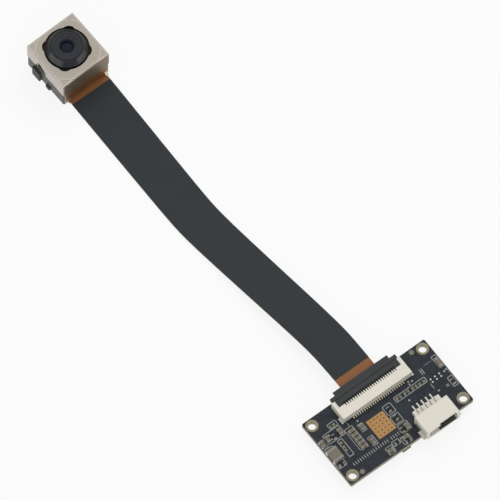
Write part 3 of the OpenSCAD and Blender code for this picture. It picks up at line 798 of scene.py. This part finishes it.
SOLDER = Finish("solder_joint", "solder", (0.62, 0.56, 0.47), 0.2, 0.95, mottle=0.15, mottle_mm=0.3)
HOLDER = Finish("holder_grey", "holder_grey", (0.125, 0.125, 0.12), 0.55, surface=Surface.CLIPPED,
                mottle=0.15, edge_light=0.3, specular=0.3)
STEEL = Finish("plate_steel", "plate_steel", (0.5, 0.5, 0.49), 0.4, 0.9, surface=Surface.BRUSHED)
GREEN = Finish("substrate_green", "substrate_green", (0.02, 0.09, 0.04), 0.4, surface=Surface.SPECKLED,
               second=(0.04, 0.15, 0.07))
SENSOR = Finish("sensor_die", "sensor_glass", (0.03, 0.03, 0.05), 0.12, surface=Surface.BANDED,
                second=(0.05, 0.03, 0.06))
FILTER = Finish("filter_glass", "filter_glass", (0.35, 0.6, 0.66), 0.06, alpha=0.5, mottle=0.04,
                grain_depth=0.02)
LENS = Finish("lens_coated", "lens_glass", (0.007, 0.008, 0.020), 0.1, mottle=0.4, mottle_mm=0.4,
              grain_depth=0.02, specular=0.16)
BARREL = Finish("barrel_black", "barrel_black", (0.012, 0.014, 0.018), 0.4, surface=Surface.TURNED,
                mottle=0.3, mottle_mm=0.9, grain_depth=0.3, edge_mm=0.07, specular=0.28,
                second=(0.04, 0.04, 0.05))
ACTUATOR = Finish("actuator_black", "actuator_black", (0.008, 0.008, 0.009), 0.55, mottle=0.15, specular=0.2)
MAGNET = Finish("magnet_plating", "magnet_nickel", (0.42, 0.42, 0.43), 0.3, 0.9, mottle=0.1)
# Far darker than bare copper: painted shade for the gap between barrel and can where the coil shows.
COPPER = Finish("coil_copper", "coil_copper", (0.11, 0.045, 0.018), 0.45, 0.7, surface=Surface.BANDED,
                second=(0.2, 0.09, 0.035))
# Nearly black, far darker than bronze: painted shade for the gap between barrel and can where the spring shows.
BRONZE = Finish("spring_bronze", "spring_bronze", (0.035, 0.030, 0.020), 0.5, 0.6, mottle=0.6,
                mottle_mm=0.5, specular=0.2)
INK = Finish("legend_ink", "board_black", (0.34, 0.36, 0.35), 0.6, mottle=0.35, mottle_mm=0.25,
             grain_depth=0.3)


class Palette:
    """The materials made so far, one for each finish."""

    def __init__(self) -> None:
        """Start with none."""
        self.made: dict[Finish, bpy.types.Material] = {}

    def wear(self, piece: bpy.types.Object, finish: Finish) -> None:
        """Put a finish on a piece, in place of what it had.

        Args:
            piece: The piece.
            finish: Its finish.
        """
        if finish not in self.made:
            self.made[finish] = finish.material()
        piece.data.materials.clear()
        piece.data.materials.append(self.made[finish])
        log.info("%s wears %s", piece.name, finish.name)


def deselect() -> None:
    """Leave nothing selected."""
    bpy.ops.object.select_all(action="DESELECT")


def settle() -> bpy.types.Object:
    """Move the active object's place, turn and scale into its mesh.

    Returns:
        The object, now at the origin.
    """
    bpy.ops.object.transform_apply(location=True, rotation=True, scale=True)
    return bpy.context.object


@contextmanager
def editing(whole: bool = True) -> Iterator[None]:
    """Edit mode on the active object, and object mode again afterwards.

    Args:
        whole: Whether everything is selected on the way in.

    Yields:
        Nothing.
    """
    bpy.ops.object.mode_set(mode="EDIT")
    if whole:
        bpy.ops.mesh.select_all(action="SELECT")
    yield
    bpy.ops.object.mode_set(mode="OBJECT")


def joined(pieces: Iterable[bpy.types.Object], name: str) -> bpy.types.Object:
    """Join pieces into one and turn their faces outwards.

    Args:
        pieces: What to join.
        name: The new name.

    Returns:
        The joined piece, its object at the origin.
    """
    pieces = list(pieces)
    deselect()
    for piece in pieces:
        piece.select_set(True)
    bpy.context.view_layer.objects.active = pieces[0]
    bpy.ops.object.join()
    made = settle()
    made.name = name
    with editing():
        bpy.ops.mesh.remove_doubles(threshold=WELD_MM * MM)
        bpy.ops.mesh.normals_make_consistent(inside=False)
    log.info("%s is %d faces", name, len(made.data.polygons))
    return made


@dataclass
class BoardLegend:
    """Pale ink on the board's top: outlines round the parts, dots, dashes and ticks. Sizes in mm."""

    top: float = 1.0
    ink: float = 0.014
    line: float = 0.15
    corner: float = 0.28
    corner_steps: int = 4
    outlines: Sequence[tuple[float, float, float, float]] = (
        (-4.72, -3.5, -10.72, -8.68), (-2.9, -0.95, -14.1, -12.85), (-3.45, -1.2, -12.7, -8.73),
        (-1.0, 3.0, -11.1, -9.93), (-1.95, 3.16, -8.72, -6.85), (-1.3, 0.55, -6.28, -5.02),
        (1.85, 4.0, -6.3, -5.02), (5.55, 7.3, -5.0, -3.35), (-0.9, 3.85, -14.12, -12.2),
        (-1.4, 0.78, -0.4, 1.52), (1.05, 3.1, -0.45, 1.52), (3.25, 5.3, -0.4, 1.8),
        (5.5, 7.3, -1.5, 0.45), (5.25, 6.45, -3.3, -1.6), (-1.63, -0.38, 2.42, 9.72),
        (-3.95, -1.2, 12.95, 14.1), (1.15, 3.45, 12.85, 14.1))
    dots: Sequence[Pair] = (
        (-1.93, -5.55), (-2.25, 7.37), (-2.56, 6.7), (0.55, 4.62), (-0.2, 13.35), (-0.35, 13.9),
        (-2.8, -11.54), (-1.8, -11.46))
    dot_size: Pair = (0.42, 0.42)
    dot_sides: int = 16
    dashes: Sequence[tuple[float, float, float, float]] = (
        (-2.4, -7.37, 0.85, 0.15), (-3.27, -7.42, 0.15, 1.2), (-2.6, 9.75, 1.5, 0.18), (-2.6, 10.15, 1.5, 0.18),
        (-3.35, 11.8, 0.08, 2.0), (0.9, 9.75, 1.5, 0.15), (2.26, 10.2, 0.3, 0.5), (-1.85, 6.55, 0.9, 0.22),
        (0.2, 14.02, 1.8, 0.1))
    dash_sides: int = 12
    tick_line: float = 4.6
    tick_size: Pair = (0.8, 0.17)
    tick_runs: Sequence[Pair] = ((-11.3, -3.5), (-2.6, -0.7))
    tick_step: float = 0.52

    def raise_ink(self) -> None:
        """Give the selected outline or face the ink's thickness."""
        bpy.ops.mesh.extrude_region_move(TRANSFORM_OT_translate={"value": (0, 0, self.ink * MM)})

    def outline(self, low_x: float, high_x: float, low_y: float, high_y: float) -> bpy.types.Object:
        """One rounded frame of ink.

        Args:
            low_x: Lowest X.
            high_x: Highest X.
            low_y: Lowest Y.
            high_y: Highest Y.

        Returns:
            The frame, still by itself.
        """
        middle = ((low_x + high_x) / 2 * MM, (low_y + high_y) / 2 * MM, self.top * MM)
        bpy.ops.mesh.primitive_plane_add(size=MM, location=middle)
        bpy.context.object.scale = (high_x - low_x, high_y - low_y, 1.0)
        made = settle()
        with editing():
            bpy.ops.mesh.bevel(offset=self.corner * MM, segments=self.corner_steps, affect="VERTICES")
            bpy.ops.mesh.select_all(action="SELECT")
            bpy.ops.mesh.inset(thickness=self.line * MM)
            bpy.ops.mesh.delete(type="FACE")
            bpy.ops.mesh.select_all(action="SELECT")
            self.raise_ink()
        return made

    def spot(self, x: float, y: float, width: float, length: float, sides: int) -> bpy.types.Object:
        """One filled dot, dash or tick.

        Args:
            x: Centre X.
            y: Centre Y.
            width: Size along X.
            length: Size along Y.
            sides: Corners of its outline.

        Returns:
            The spot, still by itself.
        """
        bpy.ops.mesh.primitive_circle_add(vertices=sides, radius=0.5 * MM, fill_type="NGON",
                                          location=(x * MM, y * MM, self.top * MM))
        bpy.context.object.scale = (width, length, 1.0)
        made = settle()
        with editing():
            self.raise_ink()
        return made

    def build(self) -> bpy.types.Object:
        """Make the whole legend as one piece.

        Returns:
            The legend.
        """
        deselect()
        made = [self.outline(*box) for box in self.outlines]
        made += [self.spot(*dot, *self.dot_size, self.dot_sides) for dot in self.dots]
        made += [self.spot(*dash, self.dash_sides) for dash in self.dashes]
        for low, high in self.tick_runs:
            for i in range(round((high - low) / self.tick_step) + 1):
                made.append(self.spot(self.tick_line, low + i * self.tick_step, *self.tick_size, self.dash_sides))
        return joined(made, "board_legend")


@dataclass
class SolderWork:
    """Solder that the chips' ends stand in, and the domes on the test pads. Sizes in mm, the angle in degrees."""

    pad_top: float = 1.05
    spread: float = 0.11
    lip: float = 0.01
    climb: float = 0.55
    rounding: float = 0.04
    rounding_steps: int = 2
    up_from: float = 0.5
    weld_digits: int = 7
    dome_r: float = 0.19
    dome_h: float = 0.075
    dome_x: Pair = (-0.4, 0.25)
    dome_y: Triple = (12.3, 11.3, 10.3)
    dome_segments: int = 20
    dome_rings: int = 10
    smooth_angle: float = 40.0
    ends: tuple[str, ...] = ("large_chip_ends", "small_chip_ends", "inductor_ends", "ferrite_bead_ends")

    def leader(self, links: list[int], item: int) -> int:
        """Follow the links from a vertex to the one that leads its lump.

        Args:
            links: Each vertex's link.
            item: The vertex to start from.

        Returns:
            The leading vertex.
        """
        while links[item] != item:
            item = links[item]
        return item

    def boxes(self, node: bpy.types.Object) -> list[tuple[Vector, Vector]]:
        """Low and high corners of every separate lump of a node.

        Args:
            node: The node.

        Returns:
            One pair for each lump.
        """
        mesh = node.data
        spots: dict[tuple[float, ...], int] = {}
        corners = (tuple(round(c, self.weld_digits) for c in vertex.co) for vertex in mesh.vertices)
        links = [spots.setdefault(corner, index) for index, corner in enumerate(corners)]
        for edge in mesh.edges:
            first, second = (self.leader(links, item) for item in edge.vertices)
            links[first] = second
        lumps: dict[int, list[Vector]] = {}
        for vertex in mesh.vertices:
            lumps.setdefault(self.leader(links, vertex.index), []).append(vertex.co)
        return [(Vector(map(min, zip(*lump))), Vector(map(max, zip(*lump)))) for lump in lumps.values()]

    def fillet(self, low: Vector, high: Vector) -> bpy.types.Object:
        """Sloped solder round one end of a chip.

        Args:
            low: Low corner of the end.
            high: High corner of the end.

        Returns:
            The fillet, still by itself.
        """
        size = high - low
        rise = size.z * self.climb
        middle = ((low.x + high.x) / 2, (low.y + high.y) / 2, low.z + rise / 2)
        wide = self.spread * 2 * MM
        lip = self.lip * MM
        bpy.ops.mesh.primitive_cube_add(size=1.0, location=middle)
        bpy.context.object.scale = (size.x + wide, size.y + wide, rise)
        made = settle()
        with editing():
            bpy.ops.mesh.select_mode(type="FACE")
            bpy.ops.mesh.select_all(action="DESELECT")
        for face in made.data.polygons:
            face.select = face.normal.z > self.up_from
        shrink = ((size.x + lip) / (size.x + wide), (size.y + lip) / (size.y + wide), 1.0)
        with editing(whole=False):
            bpy.ops.transform.resize(value=shrink)
            bpy.ops.mesh.select_all(action="SELECT")
            bpy.ops.mesh.bevel(offset=self.rounding * MM, segments=self.rounding_steps)
        return made

    def dome(self, x: float, y: float) -> bpy.types.Object:
        """One flattened dome of solder.

        Args:
            x: Centre X.
            y: Centre Y.

        Returns:
            The dome, still by itself.
        """
        bpy.ops.mesh.primitive_uv_sphere_add(segments=self.dome_segments, ring_count=self.dome_rings,
                                             radius=self.dome_r * MM, location=(x * MM, y * MM, self.pad_top * MM))
        bpy.context.object.scale = (1.0, 1.0, self.dome_h / self.dome_r)
        return settle()

    def build(self) -> bpy.types.Object:
        """Make all the solder as one piece.

        Returns:
            The solder.
        """
        deselect()
        made = [self.fillet(*box) for name in self.ends for box in self.boxes(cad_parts[name])]
        made += [self.dome(x, y) for x in self.dome_x for y in self.dome_y]
        work = joined(made, "solder_work")
        deselect()
        work.select_set(True)
        bpy.ops.object.shade_smooth_by_angle(angle=math.radians(self.smooth_angle))
        return work


class Assembly:
    """A sub-assembly: its CAD nodes and the finish that each wears."""

    finishes: ClassVar[dict[Finish, tuple[str, ...]]] = {}

    def build(self, palette: Palette) -> None:
        """Dress the nodes.

        Args:
            palette: The materials.
        """
        for finish, names in self.finishes.items():
            for name in names:
                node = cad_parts[name]
                palette.wear(node, finish)


@dataclass
class Board(Assembly):
    """The drilled board with its small parts, its legend and the solder."""

    legend: BoardLegend = field(default_factory=BoardLegend)
    solder: SolderWork = field(default_factory=SolderWork)
    finishes = {
        BOARD: ("circuit_board",),
        GOLD: ("thermal_pad",),
        RING: ("hole_plating",),
        OLIVE: ("solder_pads",),
        TIN: ("large_chip_ends", "small_chip_ends", "inductor_ends", "ferrite_bead_ends",
              "crystal", "underside_chip_ends"),
        BRIGHT: ("processor_leads", "memory_leads"),
        BEIGE: ("large_chip_bodies", "underside_chip_bodies"),
        BLACK_CHIP: ("small_chip_bodies", "processor", "memory_chip"),
        FERRITE: ("inductor_body", "ferrite_bead_body", "underside_inductors"),
    }

    def build(self, palette: Palette) -> None:
        """Dress the nodes, then add the legend and the solder.

        Args:
            palette: The materials.
        """
        super().build(palette)
        legend = self.legend.build()
        palette.wear(legend, INK)
        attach(legend, "module")
        solder = self.solder.build()
        palette.wear(solder, BRIGHT)
        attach(solder, "module")


class Sockets(Assembly):
    """The ribbon socket with its latch, and the wire socket."""

    finishes = {
        CREAM: ("ribbon_socket_housing", "wire_socket_housing"),
        LATCH: ("ribbon_socket_latch",),
        CONTACT: ("ribbon_socket_contacts",),
        BRIGHT: ("ribbon_socket_tabs", "wire_socket_pins", "wire_socket_tabs"),
    }


class Ribbon(Assembly):
    """The flat ribbon, its cover films and its gold fingers."""

    finishes = {
        AMBER: ("ribbon_core", "ribbon_stiffener"),
        FILM: ("ribbon_top_film", "ribbon_bottom_film"),
        GOLD: ("ribbon_fingers",),
    }


class Head(Assembly):
    """The camera head, from its plate to its front lens."""

    finishes = {
        STEEL: ("head_plate",),
        GREEN: ("sensor_substrate",),
        SENSOR: ("image_sensor",),
        HOLDER: ("sensor_holder", "actuator_base"),
        FILTER: ("infrared_filter",),
        NICKEL: ("shield_can",),
        SOLDER: ("can_solder",),
        CONTACT: ("coil_terminals",),
        MAGNET: ("magnets",),
        COPPER: ("focus_coil",),
        BRONZE: ("lower_spring", "upper_spring"),
        ACTUATOR: ("lens_carrier", "upper_frame", "lens_spacers", "lens_retainer"),
        BARREL: ("lens_barrel",),
        LENS: ("front_lens", "second_lens", "third_lens", "rear_lens"),
    }


@dataclass(frozen=True)
class Lamp:
    """A square soft lamp, in metres and watts."""

    name: str
    place: Triple
    power: float
    size: float

    def build(self, target: Vector) -> None:
        """Hang the lamp and turn it to the object.

        Args:
            target: What it points at.
        """
        bpy.ops.object.light_add(type="AREA", location=self.place)
        lamp = bpy.context.object
        lamp.name = self.name
        lamp.data.energy = self.power
        lamp.data.size = self.size
        lamp.visible_glossy = False
        lamp.rotation_euler = (target - Vector(self.place)).to_track_quat("-Z", "Y").to_euler()
        log.info("lamp %s is up", self.name)


@dataclass
class Studio:
    """Pale floor, soft light and a long-lens camera. Heights in mm, distances in metres, angles in degrees."""

    floor_z: float = -1.22
    floor_size: float = 6.0
    floor_grey: Colour = (0.82, 0.82, 0.82)
    floor_glow: float = 0.86
    sky_strength: float = 0.62
    lamps: tuple[Lamp, ...] = (
        Lamp("key", place=(-0.25, 0.3, 0.55), power=1.5, size=0.4),
        Lamp("fill", place=(0.35, -0.35, 0.4), power=0.5, size=0.5))
    azimuth: float = 52.9
    elevation: float = 66.8
    view_mm: float = 92.94
    centre: Triple = (-42.135, -0.07, -1.2)
    distance: float = 3.6
    sensor: float = 36.0
    clip: Pair = (0.05, 20.0)

    def floor(self) -> None:
        """A floor that shows white to the camera and keeps the shadow."""
        deselect()
        bpy.ops.mesh.primitive_plane_add(size=self.floor_size, location=(0, 0, self.floor_z * MM))
        floor = bpy.context.object
        floor.name = "floor"
        paint = Paint(bpy.data.materials.new("floor_white"))
        ray = paint.node("ShaderNodeLightPath", output="Is Camera Ray")
        gloss = paint.node("ShaderNodeLightPath", output="Is Glossy Ray")
        lit = paint.node("ShaderNodeBsdfDiffuse", {}, {"Color": self.floor_grey})
        glow = paint.node("ShaderNodeEmission", {}, {"Color": WHITE, "Strength": 1.0})
        paint.finish(paint.node("ShaderNodeMixShader", {}, {0: ray * self.floor_glow + gloss, 1: lit, 2: glow}))
        floor.data.materials.append(paint.owner)

    def sky(self) -> None:
        """A world that lights softly and shows white to the camera and in reflections."""
        world = bpy.data.worlds.new("studio")
        bpy.context.scene.world = world
        paint = Paint(world)
        ray = paint.node("ShaderNodeLightPath", output="Is Camera Ray")
        gloss = paint.node("ShaderNodeLightPath", output="Is Glossy Ray")
        soft = paint.node("ShaderNodeBackground", {}, {"Color": WHITE, "Strength": self.sky_strength})
        white = paint.node("ShaderNodeBackground", {}, {"Color": WHITE, "Strength": 1.0})
        paint.finish(paint.node("ShaderNodeMixShader", {}, {0: ray.most(gloss), 1: soft, 2: white}))

    def camera(self) -> None:
        """The camera at its place."""
        turn, rise = math.radians(self.azimuth), math.radians(self.elevation)
        back = Vector((math.sin(turn) * math.cos(rise), -math.cos(turn) * math.cos(rise), math.sin(rise)))
        data = bpy.data.cameras.new("camera")
        data.sensor_width = self.sensor
        data.lens = self.sensor * self.distance / (self.view_mm * MM)
        data.clip_start, data.clip_end = self.clip
        eye = bpy.data.objects.new("camera", data)
        bpy.context.scene.collection.objects.link(eye)
        eye.location = Vector(self.centre) * MM + back * self.distance
        eye.rotation_euler = (-back).to_track_quat("-Z", "Y").to_euler()
        bpy.context.scene.camera = eye
        bpy.context.scene.view_settings.view_transform = "Standard"

    def build(self) -> None:
        """Set up floor, sky, lamps and camera."""
        self.floor()
        self.sky()
        for lamp in self.lamps:
            lamp.build(Vector(self.centre) * MM)
        self.camera()


def main() -> None:
    """Build everything in order."""
    logging.basicConfig(level=logging.INFO)
    palette = Palette()
    parts: tuple[Assembly, ...] = (Board(), Sockets(), Ribbon(), Head())
    for part in parts:
        part.build(palette)
    dressed = {name for part in parts for names in part.finishes.values() for name in names}
    bare = set(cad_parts) - dressed
    if bare:
        raise ValueError(f"no finish for {sorted(bare)}")
    Studio().build()


if __name__ == "__main__":
    main()
